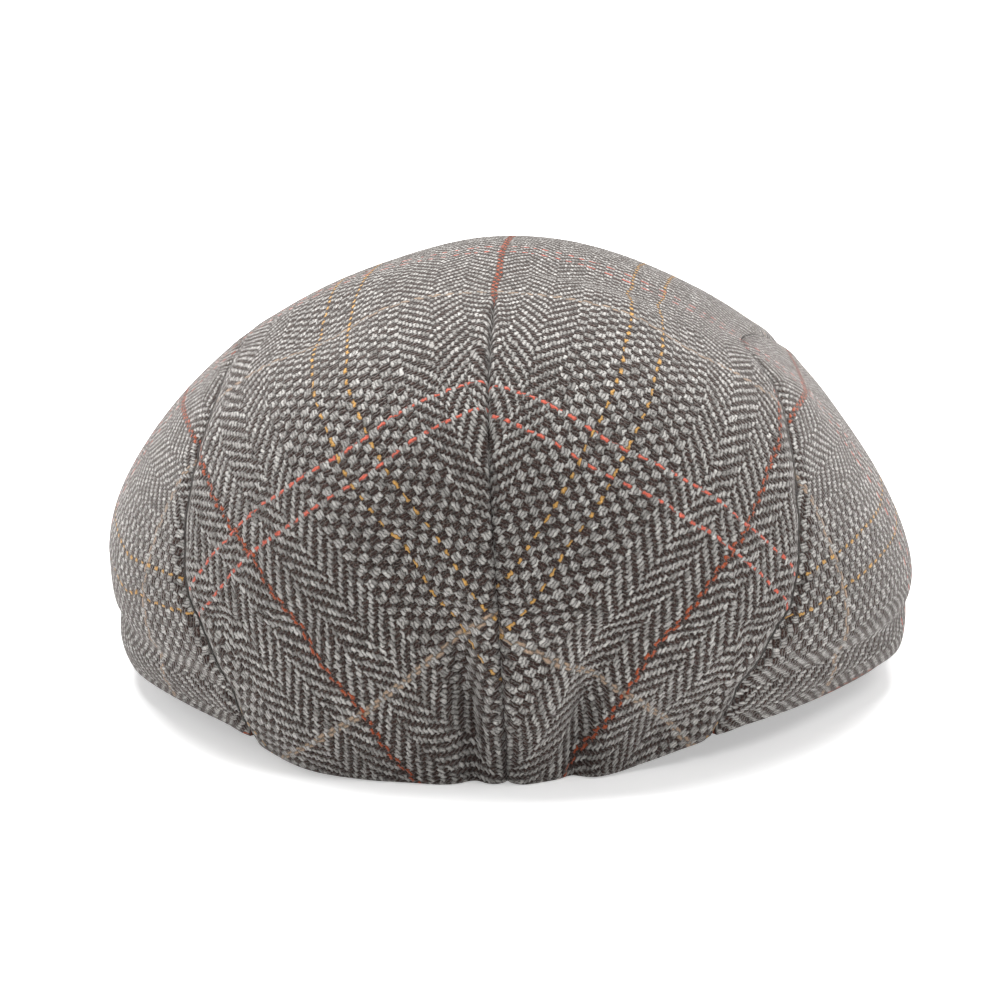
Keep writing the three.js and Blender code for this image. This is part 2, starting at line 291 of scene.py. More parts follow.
def seam_at(along):
    """Turn and share of the side seam from 0 at its back end to 1 at its front end."""
    points = np.stack([SEAM_TURNS, np.array(SEAM_SHARES) * SEAM_PERCENT], -1)
    points = np.vstack([2 * points[0] - points[1], points, 2 * points[-1] - points[-2]])
    place = np.clip(np.asarray(along, float), 0, 1) * (len(SEAM_TURNS) - 1)
    row = np.minimum(place.astype(int), len(SEAM_TURNS) - 2)
    u = (place - row)[..., None]
    p0, p1, p2, p3 = (points[row + step] for step in range(4))
    d0, d1, d2 = (
        np.sqrt(np.linalg.norm(b - a, axis=-1, keepdims=True))
        for a, b in ((p0, p1), (p1, p2), (p2, p3))
    )
    start = ((p1 - p0) / d0 - (p2 - p0) / (d0 + d1) + (p2 - p1) / d1) * d1
    end = ((p2 - p1) / d1 - (p3 - p1) / (d1 + d2) + (p3 - p2) / d2) * d1
    cubic = (2 * (p1 - p2) + start + end) * u**3 + (-3 * (p1 - p2) - 2 * start - end) * u**2
    found = cubic + start * u + p1
    return found[..., 0], found[..., 1] / SEAM_PERCENT


def seam_beside(along, aside):
    """The seam moved sideways by a distance, toward the top piece if positive."""
    turn, share = seam_at(along)
    before_turn, before_share = seam_at(along - SEAM_STEP)
    after_turn, after_share = seam_at(along + SEAM_STEP)
    held = np.clip(share, SEAM_LOWEST, SEAM_HIGHEST)
    across = crown_form(turn + TURN_STEP, held) - crown_form(turn - TURN_STEP, held)
    upward = crown_form(turn, held + SHARE_STEP) - crown_form(turn, held - SHARE_STEP)
    per_turn = np.linalg.norm(across, axis=-1) / (2 * TURN_STEP)
    per_share = np.linalg.norm(upward, axis=-1) / (2 * SHARE_STEP)
    side_turn = -(after_share - before_share) * per_share
    side_share = (after_turn - before_turn) * per_turn
    length = np.hypot(side_turn, side_share)
    moved = share + side_share / length * aside / per_share
    return turn + side_turn / length * aside / per_turn, np.maximum(moved, 0)


def cloth_noise(x, y, seed):
    """Smooth random relief from -1 to 1, one swell to each unit of x and y."""
    lattice = np.random.default_rng(seed).uniform(-1, 1, (NOISE_CELLS, NOISE_CELLS))
    i, j = np.floor(x).astype(int), np.floor(y).astype(int)
    u, v = smooth(0, 1, x - i), smooth(0, 1, y - j)
    i, j, i_next, j_next = (k % NOISE_CELLS for k in (i, j, i + 1, j + 1))
    a, b = lattice[i, j], lattice[i_next, j]
    c, d = lattice[i, j_next], lattice[i_next, j_next]
    return a * (1 - u) * (1 - v) + b * u * (1 - v) + c * (1 - u) * v + d * u * v


seam_line = crown_form(*seam_at(np.linspace(0, 1, SEAM_POINTS)))


def seam_relief(turn, share, roll_share):
    """Depth of the rolled edges on both sides of a side seam, with its small puckers."""
    points = crown_form(np.abs(turn), share).reshape(-1, 3)
    distance = np.empty(len(points))
    nearest = np.empty(len(points), int)
    for first in range(0, len(points), POINTS_AT_ONCE):
        part = slice(first, first + POINTS_AT_ONCE)
        apart = np.linalg.norm(points[part, None] - seam_line[None], axis=-1)
        nearest[part] = apart.argmin(1)
        distance[part] = apart.min(1)
    distance = distance.reshape(turn.shape)
    nearest = nearest.reshape(turn.shape)
    away = np.sign(turn) * PUCKER_SIDE_SHIFT + distance / PUCKER_ACROSS
    pull = cloth_noise(nearest / PUCKER_POINTS, away, PUCKER_SEED)
    puckers = PUCKER_DEPTH * pull * hump(distance, PUCKER_REACH)
    roll = SEAM_DEPTH * hump(distance, SEAM_WIDTH)
    swell = SEAM_SWELL * hump(distance - SWELL_ASIDE, SWELL_WIDTH)
    stretched = 1 - SHOULDER_EASE * hump(np.abs(turn) - SHOULDER_TURN, SHOULDER_SPREAD)
    return (roll * roll_share - swell) * stretched + puckers


def dart_turn(share):
    """The dart's line, which leans to the right at the hem."""
    return DART_LEAN * np.clip(1 - share, 0, 1) ** DART_CURVE


def dents(table, turn, share):
    """The depth of a table's dents together, in the table's own unit."""
    depth = np.zeros(turn.shape)
    for middle_turn, middle_share, across, up, lean, deep in table:
        middle = middle_turn + lean * (share - middle_share)
        depth += deep * hump(turn - middle, across) * hump(share - middle_share, up)
    return depth


def dart_depth(turn, share):
    """The dart's groove with its line of stitches, and the cloth's swell on both sides of it."""
    off = (turn - dart_turn(share)) * np.radians(1) * hem_half_length
    groove = DART_DEPTH * hump(off, DART_WIDTH) + STITCH_DEPTH * hump(off, STITCH_WIDTH)
    swell = DART_SWELL * hump(np.abs(off) - SWELL_ASIDE, SWELL_WIDTH)
    sewn = 1 - smooth(DART_APEX - DART_FADE_BEFORE, DART_APEX + DART_FADE_AFTER, share)
    return sewn * (groove - swell)


def share_at(turn, height):
    """The share of the way up the wall at a height over the hem."""
    return WALL_SHARE * height / (section_value("waist", turn) * crown_height)


def crease_depth(turn, share):
    """The crease over the edge of the turned-up hem, which fades toward the centre back."""
    crease = hump(share - share_at(turn, HEM_TURN_UP), share_at(turn, HEM_CREASE_WIDTH))
    return HEM_CREASE * crease * smooth(CREASE_START, CREASE_FULL, np.abs(turn))


def crown_surface(turn, share, roll_share=1):
    """The crown's outside with its dents, dart, seams and the crease over the turned-up hem."""
    turn, share = np.broadcast_arrays(np.asarray(turn, float), np.asarray(share, float))
    inward = -outward(crown_form, turn, share)
    inward[..., 2] *= smooth(0, HEM_LEVEL, share)
    depth = DEEPEST_DENT * dents(DENTS, turn, share) + MM * dents(GATHERS, turn, share)
    depth += dart_depth(turn, share) + crease_depth(turn, share)
    depth += seam_relief(turn, share, roll_share)
    return crown_form(turn, share) + inward * depth[..., None]


side_shares = np.linspace(0, SIDES_TOP, SIDES_ROWS)
widest = crown_surface(np.arange(-180, 180)[:, None], side_shares)[..., 0]
head_centre = np.array([-(widest.min() + widest.max()) / 2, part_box("peak")[1].y - peak_tip, 0])


def wall_mesh(name, outer, inner, closed):
    """A cloth wall between two grids of points, closed round the crown or open like a panel."""
    columns, rows = outer.shape[:2]
    grid = np.concatenate([inner[:, ::-1], outer], axis=1)
    count = grid.shape[1]
    points = (grid + head_centre).reshape(-1, 3)
    faces = []
    last = columns if closed else columns - 1
    for i in range(last):
        here, there = i * count, (i + 1) % columns * count
        for j in range(count - 1):
            faces.append((here + j, there + j, there + j + 1, here + j + 1))
    if closed:
        crests = [face[:, -1].mean(0) + head_centre for face in (outer, inner)]
        points = np.vstack([points, *crests])
        poles = len(points) - 2, len(points) - 1
        for i in range(last):
            here, there = i * count, (i + 1) % columns * count
            faces.append((here + count - 1, there + count - 1, poles[0]))
            faces.append((there, here, poles[1]))
    else:
        for i in range(last):
            here, there = i * count, (i + 1) * count
            faces.append((here, here + count - 1, there + count - 1, there))
        for j in range(rows - 1):
            for base, flip in ((0, 1), (last * count, -1)):
                low, high = base + rows + j, base + rows + j + 1
                faces.append((low, high, base + rows - 2 - j, base + rows - 1 - j)[::flip])
    mesh = bpy.data.meshes.new(name)
    mesh.from_pydata(points.tolist(), [], faces)
    mesh.validate()
    mesh.update()
    mesh.polygons.foreach_set("use_smooth", [True] * len(mesh.polygons))
    piece = bpy.data.objects.new(name, mesh)
    bpy.context.scene.collection.objects.link(piece)
    return piece


BACK_COLUMNS = 72
BACK_CROWDING = 1.35
SEAM_COLUMNS = 112
FRONT_COLUMNS = 26
TOP_ROWS = 112
seam_start = float(seam_beside(0.0, SEAM_GAP / 2)[0])
half_turns = [seam_start * np.linspace(0, 1, BACK_COLUMNS, False) ** BACK_CROWDING]
half_shares = [np.zeros(BACK_COLUMNS)]
seam_turns, seam_shares = seam_beside(np.linspace(0, 1, SEAM_COLUMNS), SEAM_GAP / 2)
half_turns += [seam_turns, np.linspace(seam_turns[-1], 180, FRONT_COLUMNS)[1:]]
half_shares += [seam_shares, np.zeros(FRONT_COLUMNS - 1)]
half_turns = np.concatenate(half_turns)
half_shares = np.concatenate(half_shares)


def top_grid(columns, rises, end):
    """Turns and shares of the top's grid, from the dart's right edge round to its left edge."""
    turns = np.concatenate([half_turns, -half_turns[-2::-1]])[columns]
    starts = np.concatenate([half_shares, half_shares[-2::-1]])[columns]
    shares = starts[:, None] + (end - starts[:, None]) * rises
    lean = dart_turn(shares) * hump(turns[:, None], DART_REACH)
    return turns[:, None] + lean, shares


def inside_of(turn_grid, share_grid, outer):
    """The cloth's inner face, one wall further in and thicker at the turned-up hem."""
    wall = HEM_THICKNESS + (CLOTH_WALL - HEM_THICKNESS) * smooth(
        0, 1, share_grid / share_at(turn_grid, HEM_TURN_UP))
    normal = outward(crown_form, turn_grid, np.maximum(share_grid, SHARE_STEP))
    normal[..., 2] *= smooth(0, HEM_LEVEL, share_grid)
    normal /= np.linalg.norm(normal, axis=-1, keepdims=True)
    return outer - normal * wall[..., None]


# How the top's cloth lies: where its threads pass, in degrees and share of the way up, and their
# distance across from the middle thread and along from the crossing red pair, in millimetres
TOP_THREADS = (
    (-102, 0.813, -35, -90), (103.3, 0.779, 35, -90), (-176.5, 0.935, 0, -90), (180, 0.738, 0, -150),
    (-76.1, 0.817, -35, -68), (77.5, 0.82, 35, -68), (-52.7, 0.78, -35, -47), (51.7, 0.823, 35, -48),
    (-54.2, 0.519, -70, -30), (54.7, 0.56, 70, -30), (-32.5, 0.678, -35, -22), (30.9, 0.712, 35, -22),
    (-44.9, 0.46, -70, -14), (45.9, 0.499, 70, -14), (-36.6, 0.39, -70, 0), (39.1, 0.418, 70, 0),
    (-19.1, 0.532, -35, 0), (18.8, 0.558, 35, 0), (-1.3, 0.669, -5, 0), (1.3, 0.669, 6, -1),
    (-27.7, 0.36, -62, 10), (29.9, 0.395, 62, 10), (-35.3, 0.147, -90, 20), (39.1, 0.172, 90, 20),
    (-24.5, 0.223, -70, 24), (28, 0.266, 70, 24), (-10.3, 0.352, -40, 24), (12.1, 0.36, 40, 24),
    (-0.9, 0.455, -18, 22), (2.1, 0.446, 18, 22), (-20.4, 0.154, -70, 36), (23.1, 0.189, 70, 36),
    (-16.2, 0.103, -70, 47), (20.3, 0.129, 70, 47), (-1.3, 0.206, -37, 47), (3, 0.206, 38, 47),
    (-25.7, 0.034, -90, 48), (29.6, 0.043, 90, 47), (-12.3, 0.034, -70, 61), (16.5, 0.051, 70, 62),
    (-0.8, 0.077, -52, 67), (5.6, 0.069, 52, 69), (-0.1, 0.8, -4.2, -15), (0.7, 0.8, 4.2, -15),
    (-0.2, 0.88, -2.5, -27), (0.5, 0.88, 2.5, -27), (-0.3, 0.94, -0.4, -40), (0.3, 0.94, 0.4, -40),
)
GRAIN = "cloth_grain"
GUIDE_PULL = 20
LEAST_PULL = 0.05
LAY_ROUNDS = 120
NEAR_TURN, NEAR_SHARE = 50, 0.5


def lay_flat(turn, share, points, start, threads, hand, sewn_from=None):
    """Lays a grid of cloth flat with as little stretch as its threads' places allow.

    hand is -1 where the flat cloth is seen from its back. From row sewn_from up the grid's first
    and last column are one, and its last row is one point.
    """
    columns, count = turn.shape
    number = np.arange(columns * count).reshape(columns, count)
    if sewn_from is not None:
        number[-1, sewn_from:] = number[0, sewn_from:]
        number[:, -1] = number[0, -1]
    used, number = np.unique(number, return_inverse=True)
    number = number.reshape(columns, count)
    points = points.reshape(-1, 3)[used]
    flat = start.reshape(-1, 2)[used]
    a, b, c, d = number[:-1, :-1], number[1:, :-1], number[1:, 1:], number[:-1, 1:]
    corners = np.concatenate([np.stack(f, -1).reshape(-1, 3) for f in ((a, b, c), (a, c, d))])
    whole = (corners[:, 0] != corners[:, 1]) & (corners[:, 1] != corners[:, 2])
    corners = corners[whole & (corners[:, 2] != corners[:, 0])]
    first = points[corners[:, 1]] - points[corners[:, 0]]
    second = points[corners[:, 2]] - points[corners[:, 0]]
    length = np.linalg.norm(first, axis=1)
    along = (second * first).sum(1) / length
    shape = np.zeros((len(corners), 3, 2))
    shape[:, 1, 0] = length
    shape[:, 2, 0] = along
    shape[:, 2, 1] = hand * np.sqrt(np.maximum((second**2).sum(1) - along**2, 0))
    sides = []
    pull = np.zeros((len(used), len(used)))
    for k in range(3):
        i, j, other = corners[:, k], corners[:, (k + 1) % 3], shape[:, (k + 2) % 3]
        p, q = shape[:, k] - other, shape[:, (k + 1) % 3] - other
        area = np.abs(p[:, 0] * q[:, 1] - p[:, 1] * q[:, 0])
        weight = np.maximum((p * q).sum(1) / area, LEAST_PULL) / 2
        sides.append((i, j, shape[:, k] - shape[:, (k + 1) % 3], weight))
        for row, column, sign in ((i, i, 1), (j, j, 1), (i, j, -1), (j, i, -1)):
            np.add.at(pull, (row, column), sign * weight)
    held = np.zeros((len(used), 2))
    for thread_turn, thread_share, across, ahead in threads:
        near = ((turn - thread_turn) / NEAR_TURN) ** 2 + ((share - thread_share) / NEAR_SHARE) ** 2
        i, j = np.unravel_index(near.argmin(), near.shape)
        i2 = i + 1 if i == 0 or (i < columns - 1 and turn[i, j] < thread_turn) else i - 1
        j2 = j + 1 if j == 0 or (j < count - 1 and share[i, j] < thread_share) else j - 1
        slope = np.array([
            [turn[i2, j] - turn[i, j], turn[i, j2] - turn[i, j]],
            [share[i2, j] - share[i, j], share[i, j2] - share[i, j]],
        ])
        u, v = np.linalg.solve(slope, (thread_turn - turn[i, j], thread_share - share[i, j]))
        spots = np.array([number[i, j], number[i2, j], number[i, j2], number[i2, j2]])
        parts = np.array([(1 - u) * (1 - v), u * (1 - v), (1 - u) * v, u * v])
        np.add.at(pull, (spots[:, None], spots[None]), GUIDE_PULL * parts[:, None] * parts)
        np.add.at(held, spots, GUIDE_PULL * MM * parts[:, None] * np.array((across, ahead)))
    solved = np.linalg.inv(pull)
    for _ in range(LAY_ROUNDS):
        turned = np.zeros((len(corners), 2, 2))
        for i, j, edge, weight in sides:
            turned += weight[:, None, None] * (flat[i] - flat[j])[:, :, None] * edge[:, None]
        angle = np.arctan2(turned[:, 1, 0] - turned[:, 0, 1], turned[:, 0, 0] + turned[:, 1, 1])
        cos, sin = np.cos(angle), np.sin(angle)
        wanted = held.copy()
        for i, j, edge, weight in sides:
            moved = weight[:, None] * np.stack(
                [cos * edge[:, 0] - sin * edge[:, 1], sin * edge[:, 0] + cos * edge[:, 1]], -1)
            np.add.at(wanted, i, moved)
            np.add.at(wanted, j, -moved)
        flat = solved @ wanted
    return flat[number]


def between(grid, place, axis):
    """A grid read at fractional places along one axis, on smooth curves through its rows."""
    grid = np.moveaxis(grid, axis, 0)
    last = len(grid) - 1
    row = np.clip(np.floor(place).astype(int), 0, last - 1)
    shape = (-1,) + (1,) * (grid.ndim - 1)
    b, c = grid[row], grid[row + 1]
    a = np.where((row > 0).reshape(shape), grid[np.maximum(row - 1, 0)], 2 * b - c)
    d = np.where((row + 2 <= last).reshape(shape), grid[np.minimum(row + 2, last)], 2 * c - b)
    return np.moveaxis(curve_through(a, b, c, d, (place - row).reshape(shape)), 0, axis)


def turned_in(grain):
    """Where the inner face lies on the flat cloth, which goes on round the hem."""
    start = grain[:, :1]
    onward = start - grain[:, 1:2]
    onward = onward / np.linalg.norm(onward, axis=-1, keepdims=True)
    return start + onward * HEM_THICKNESS + (start - grain)


def print_grain(piece, grain, inside, pole=None):
    """Stores where each point of a wall lies on the flat cloth, as a UV map in metres."""
    ring = np.concatenate([inside[:, ::-1], grain], axis=1)
    count = ring.shape[1]
    mesh = piece.data
    layer = mesh.uv_layers.new(name=GRAIN)
    vertex = np.empty(len(mesh.loops), int)
    mesh.loops.foreach_get("vertex_index", vertex)
    starts = np.empty(len(mesh.polygons), int)
    totals = np.empty(len(mesh.polygons), int)
    mesh.polygons.foreach_get("loop_start", starts)
    mesh.polygons.foreach_get("loop_total", totals)
    column, row = vertex // count, vertex % count
    at_pole = np.zeros(len(vertex), bool)
    if pole is not None:
        columns = len(ring) - 1
        at_pole = vertex >= columns * count
        farthest = np.repeat(np.maximum.reduceat(np.where(at_pole, 0, column), starts), totals)
        column = np.where((farthest == columns - 1) & (column == 0), columns, column)
        column[at_pole] = 0
    place = ring[column, row]
    place[at_pole] = 0 if pole is None else pole
    layer.uv.foreach_set("vector", place.astype(np.float32).ravel())


# The tweed: two threads over and two under, with grey warp and dark brown weft. Broad herringbone
# stripes alternate with barleycorn, and coloured threads cross them in a large check.
# An end is one warp thread and a pick is one weft thread, and both count the places of the pattern.
END_WIDTH = 0.73 * MM
PICK_WIDTH = 0.95 * MM
STRIPE_REPEAT = 96
HERRINGBONE_HALF = 26.5
HERRINGBONE_TURN = 9
BARLEYCORN_ENDS = 3
RUST_HALF = 1.1
MUSTARD_FROM_MIDDLE = 42.5
CHECK_REPEAT = 100
RED_FROM_MIDDLE = 4
LIGHT_GREY, MID_GREY = (188, 186, 182), (100, 98, 95)
BROWN, DARK_BROWN = (50, 30, 25), (14, 7, 6)
RUST, MUSTARD, RED, BEIGE = (150, 66, 34), (184, 140, 74), (198, 92, 74), (150, 128, 108)
FUZZ = (180, 166, 158)
SHEEN_TINT = (0.8, 0.76, 0.73, 1)
# How far threads stray in their own widths, over broad and fine swells, counted to a millimetre
BROAD_SWELLS, FINE_SWELLS = 0.12, 1.1
BROAD_STRAY, END_STRAY, PICK_STRAY = 0.9, 1.2, 0.8
FLOAT_STRAY, FLOAT_SWELLS = 1.7, 0.45
# How much the warp's grey and the weft's brown change from float to float, from thread to thread and
# along a thread, and what their middle is lowered by
WARP_FLOAT_TONE, WARP_THREAD_TONE, WARP_LONG_TONE, WARP_LOWERED = 0.6, 0.2, 0.7, 0.25
WEFT_THREAD_TONE, WEFT_LONG_TONE, WEFT_LOWERED = 0.3, 1.1, 0.2
WARP_SWELLS, WEFT_SWELLS = 0.14, 0.5
# Fibres of a thread, the painted shade in the grooves beside it, the warp that peeks out between
# picks, and loose hairs
FIBRES_ACROSS, FIBRES_ALONG = 5, 1.4
FIBRE_CONTRAST, FIBRE_LEAST = 1.7, 0.2
THREAD_ROUNDNESS, GROOVE_LIGHT = 0.8, 0.1
PEEK_START, PEEK_RISE, PEEK_SHARE = 0.55, 2.2, 0.9
HAIR_SWELLS, HAIR_DETAIL, HAIR_TUFTS, HAIR_LEAST = 2.2, 4.0, 0.96, 0.02
FLOAT_RELIEF, FIBRE_RELIEF = 0.7, 0.5
THREAD_RELIEF = 0.35 * MM
# Steps, shifts and seeds that keep one noise from repeating another
THREAD_STEP, FLOAT_STEP, PICK_STEP = 7.3, 17.3, 5.1
PICK_SHIFT, FINE_END_SHIFT, FINE_PICK_SHIFT = 300, 150, 450
WEFT_SHIFT, WEFT_FIBRE_SHIFT, HAIR_SHIFT = 500, 90, 40
FLOAT_SEED, END_SEED, PICK_SEED = 0.4, 3.1, 57.7
# What keeps a whole number from falling just short of itself
NUDGE = 0.01
# A Mix node's sockets for colours
MIX_UNDER, MIX_OVER, MIX_RESULT = 6, 7, 2


def linear(colour):
    """An sRGB colour of 0 to 255 as a linear one with full alpha."""
    c = np.array(colour) / 255
    return (*np.where(c <= 0.04045, c / 12.92, ((c + 0.055) / 1.055) ** 2.4), 1)


class Term:
    """A shader value that is written in sums like a number, one math node a step."""

    def __init__(self, tree, socket):
        self.tree, self.socket = tree, socket

    def feed(self, slot, term):
        """Links a term to a socket, or sets the socket's value."""
        if isinstance(term, Term):
            self.tree.links.new(term.socket, slot)
        else:
            slot.default_value = term

    def math(self, operation, *others):
        """The result of one math node over this term and others."""
        node = self.tree.nodes.new("ShaderNodeMath")
        node.operation = operation
        for slot, term in zip(node.inputs, (self, *others)):
            self.feed(slot, term)
        return Term(self.tree, node.outputs[0])

    def __add__(self, other):
        return self.math("ADD", other)

    def __sub__(self, other):
        return self.math("SUBTRACT", other)

    def __rsub__(self, other):
        return self * -1 + other

    def __mul__(self, other):
        return self.math("MULTIPLY", other)

    def __truediv__(self, other):
        return self.math("DIVIDE", other)

    def __mod__(self, other):
        return self.math("FLOORED_MODULO", other)

    def __pow__(self, other):
        return self.math("POWER", other)

    def __lt__(self, other):
        return self.math("LESS_THAN", other)

    def __gt__(self, other):
        return self.math("GREATER_THAN", other)

    def __abs__(self):
        return self.math("ABSOLUTE")

    def floor(self):
        return self.math("FLOOR")

    def above_zero(self):
        return self.math("MAXIMUM", 0.0)

    def choose(self, yes, no):
        """One term where this one is 1 and the other where it is 0."""
        return (yes - no) * self + no

    def random(self, seed):
        """A random value from 0 to 1 for each value of this term."""
        node = self.tree.nodes.new("ShaderNodeTexWhiteNoise")
        node.noise_dimensions = "1D"
        self.tree.links.new((self + seed).socket, node.inputs["W"])
        return Term(self.tree, node.outputs["Value"])

    def noise(self, other, scale=1.0, detail=2.0):
        """Smooth noise about 0.5 over this term and another."""
        pair = self.tree.nodes.new("ShaderNodeCombineXYZ")
        self.tree.links.new(self.socket, pair.inputs[0])
        self.tree.links.new(other.socket, pair.inputs[1])
        node = self.tree.nodes.new("ShaderNodeTexNoise")
        node.noise_dimensions = "2D"
        self.tree.links.new(pair.outputs[0], node.inputs["Vector"])
        node.inputs["Scale"].default_value = scale
        node.inputs["Detail"].default_value = detail
        return Term(self.tree, node.outputs["Fac"])

    def mix(self, kind, factor, under, over):
        """The colour of one Mix node."""
        node = self.tree.nodes.new("ShaderNodeMix")
        node.data_type = "RGBA"
        node.blend_type = kind
        self.feed(node.inputs["Factor"], factor)
        self.feed(node.inputs[MIX_UNDER], under)
        self.feed(node.inputs[MIX_OVER], over)
        return Term(self.tree, node.outputs[MIX_RESULT])

    def blend(self, under, over):
        """The first colour where this term is 0 and the second where it is 1."""
        colours = (c if isinstance(c, Term) else linear(c) for c in (under, over))
        return self.mix("MIX", self, *colours)

    def shaded(self, shade):
        """This colour made lighter or darker by a value."""
        return self.mix("MULTIPLY", 1, self, shade)


weave = bpy.data.node_groups.new("Tweed weave", "ShaderNodeTree")
weave.interface.new_socket("Place", in_out="INPUT", socket_type="NodeSocketVector")
weave.interface.new_socket("Color", in_out="OUTPUT", socket_type="NodeSocketColor")
weave.interface.new_socket("Height", in_out="OUTPUT", socket_type="NodeSocketFloat")
weave_in = weave.nodes.new("NodeGroupInput")
weave_out = weave.nodes.new("NodeGroupOutput")
split = weave.nodes.new("ShaderNodeSeparateXYZ")
weave.links.new(weave_in.outputs["Place"], split.inputs[0])
across, ahead = Term(weave, split.outputs[0]) / MM, Term(weave, split.outputs[1]) / MM


def stray(shift, swells, threads, detail=2.0):
    """How far threads stray from their even places, in thread widths."""
    return ((across + shift).noise(ahead, swells, detail) - 0.5) * threads


u = across / (END_WIDTH / MM) + stray(0, BROAD_SWELLS, BROAD_STRAY)
v = ahead / (PICK_WIDTH / MM) + stray(PICK_SHIFT, BROAD_SWELLS, BROAD_STRAY)
u = u + stray(FINE_END_SHIFT, FINE_SWELLS, END_STRAY, 1.0)
v = v + stray(FINE_PICK_SHIFT, FINE_SWELLS, PICK_STRAY, 1.0)
end, pick = u.floor(), v.floor()
in_end, in_pick = u - end, v - pick
slid = v + ((end * THREAD_STEP).noise(v * FLOAT_SWELLS, detail=1.0) - 0.5) * FLOAT_STRAY
float_pick = slid.floor()

# Which thread lies on top, from the place in the stripe and in the four picks of the weave
in_stripe = (end + STRIPE_REPEAT / 2) % STRIPE_REPEAT - STRIPE_REPEAT / 2 + 0.5
from_middle = abs(in_stripe) - 0.5
herringbone = from_middle < HERRINGBONE_HALF
column = (from_middle / HERRINGBONE_TURN + NUDGE).floor()
slant = 1 - (column % 2) * 2
twill = slant * (from_middle - column * HERRINGBONE_TURN) + column * 2 + (in_stripe < 0) * 2
barleycorn = (end / BARLEYCORN_ENDS + NUDGE).floor() * 2
step = ((float_pick + herringbone.choose(twill, barleycorn) + 0.5) % 4).floor()
warp_up = step < 1.5

# How far along its visible float a point of the upper thread is, and how far across its width
run_warp = (step + slid - float_pick) / 2
lean = slant * ((in_stripe > 0) * 2 - 1)
run_twill = ((step - 2.5) * lean + 0.5 + in_end) / 2
run_barleycorn = ((end + NUDGE) % BARLEYCORN_ENDS - NUDGE + in_end) / BARLEYCORN_ENDS
run_weft = herringbone.choose(run_twill, run_barleycorn)
side = warp_up.choose(in_end, in_pick)
run = warp_up.choose(run_warp, run_weft)
round_side = 1 - (side * 2 - 1) ** 2
round_run = 1 - (run * 2 - 1) ** 4

# Colours of both threads, with the check's coloured ones, then fibres, painted shade in the grooves
# between threads, gaps and hairs
float_random = (end * FLOAT_STEP + (float_pick - step) * PICK_STEP).random(FLOAT_SEED)
warp_long = (end * THREAD_STEP).noise(v * WARP_SWELLS) * WARP_LONG_TONE
warp_tone = float_random * WARP_FLOAT_TONE + end.random(END_SEED) * WARP_THREAD_TONE
warp_tone = warp_tone + warp_long - WARP_LOWERED
weft_long = (pick * THREAD_STEP + WEFT_SHIFT).noise(u * WEFT_SWELLS) * WEFT_LONG_TONE
weft_tone = pick.random(PICK_SEED) * WEFT_THREAD_TONE + weft_long - WEFT_LOWERED
warp_colour = warp_tone.blend(MID_GREY, LIGHT_GREY)
warp_colour = (abs(in_stripe) < RUST_HALF).blend(warp_colour, RUST)
warp_colour = (abs(abs(in_stripe) - MUSTARD_FROM_MIDDLE) < 0.25).blend(warp_colour, MUSTARD)
weft_colour = weft_tone.blend(DARK_BROWN, BROWN)
half_check = CHECK_REPEAT / 2
in_check = (pick + (half_check + 0.5)) % CHECK_REPEAT - (half_check + 0.5)
weft_colour = (abs(abs(in_check) - RED_FROM_MIDDLE) < 0.5).blend(weft_colour, RED)
weft_colour = (abs(in_check + 0.5) > half_check - 1).blend(weft_colour, BEIGE)
warp_fibres = (u * FIBRES_ACROSS).noise(v * FIBRES_ALONG)
weft_fibres = (u * FIBRES_ALONG + WEFT_FIBRE_SHIFT).noise(v * FIBRES_ACROSS)
fibres = warp_up.choose(warp_fibres, weft_fibres)
# Painted shade: the colour darkens toward each thread's edges and the ends of its float, where the
# grooves between threads lie; the fibres add their own tone on top
groove = round_side ** THREAD_ROUNDNESS * round_run ** THREAD_ROUNDNESS
shade = groove * (1 - GROOVE_LIGHT) + GROOVE_LIGHT
shade = shade * (fibres * FIBRE_CONTRAST + FIBRE_LEAST)
colour = warp_up.blend(weft_colour, warp_colour).shaded(shade)
peek = ((abs(in_pick * 2 - 1) - PEEK_START) * PEEK_RISE).above_zero() * (1 - warp_up)
colour = (peek * fibres * PEEK_SHARE).blend(colour, MID_GREY)
hairs = (across * HAIR_SWELLS + HAIR_SHIFT).noise(ahead * HAIR_SWELLS, detail=HAIR_DETAIL)
colour = ((hairs - 0.5).above_zero() * HAIR_TUFTS + HAIR_LEAST).blend(colour, FUZZ)
height = round_side * round_run * FLOAT_RELIEF + fibres * FIBRE_RELIEF
weave.links.new(colour.socket, weave_out.inputs["Color"])
weave.links.new(height.socket, weave_out.inputs["Height"])

cloth = bpy.data.materials.new("grey-brown tweed")
cloth.use_nodes = True
nodes, links = cloth.node_tree.nodes, cloth.node_tree.links
grain_map = nodes.new("ShaderNodeUVMap")
grain_map.uv_map = GRAIN
woven = nodes.new("ShaderNodeGroup")
woven.node_tree = weave
links.new(grain_map.outputs[0], woven.inputs["Place"])
relief = nodes.new("ShaderNodeBump")
relief.inputs["Distance"].default_value = THREAD_RELIEF
links.new(woven.outputs["Height"], relief.inputs["Height"])
wool = nodes["Principled BSDF"]
links.new(woven.outputs["Color"], wool.inputs["Base Color"])
links.new(relief.outputs["Normal"], wool.inputs["Normal"])
wool.inputs["Roughness"].default_value = 0.92
wool.inputs["Specular IOR Level"].default_value = 0.15
wool.inputs["Sheen Weight"].default_value = 0.42
wool.inputs["Sheen Roughness"].default_value = 0.28
wool.inputs["Sheen Tint"].default_value = SHEEN_TINT

# The top is laid flat on a coarser grid, from a first fan of its columns round the crest
LAY_STEP = 8
LAY_ROWS = 24
LAY_CROWDING = 1.5
TOP_SPREAD = 0.833
TOP_POLE_AHEAD = 62 * MM

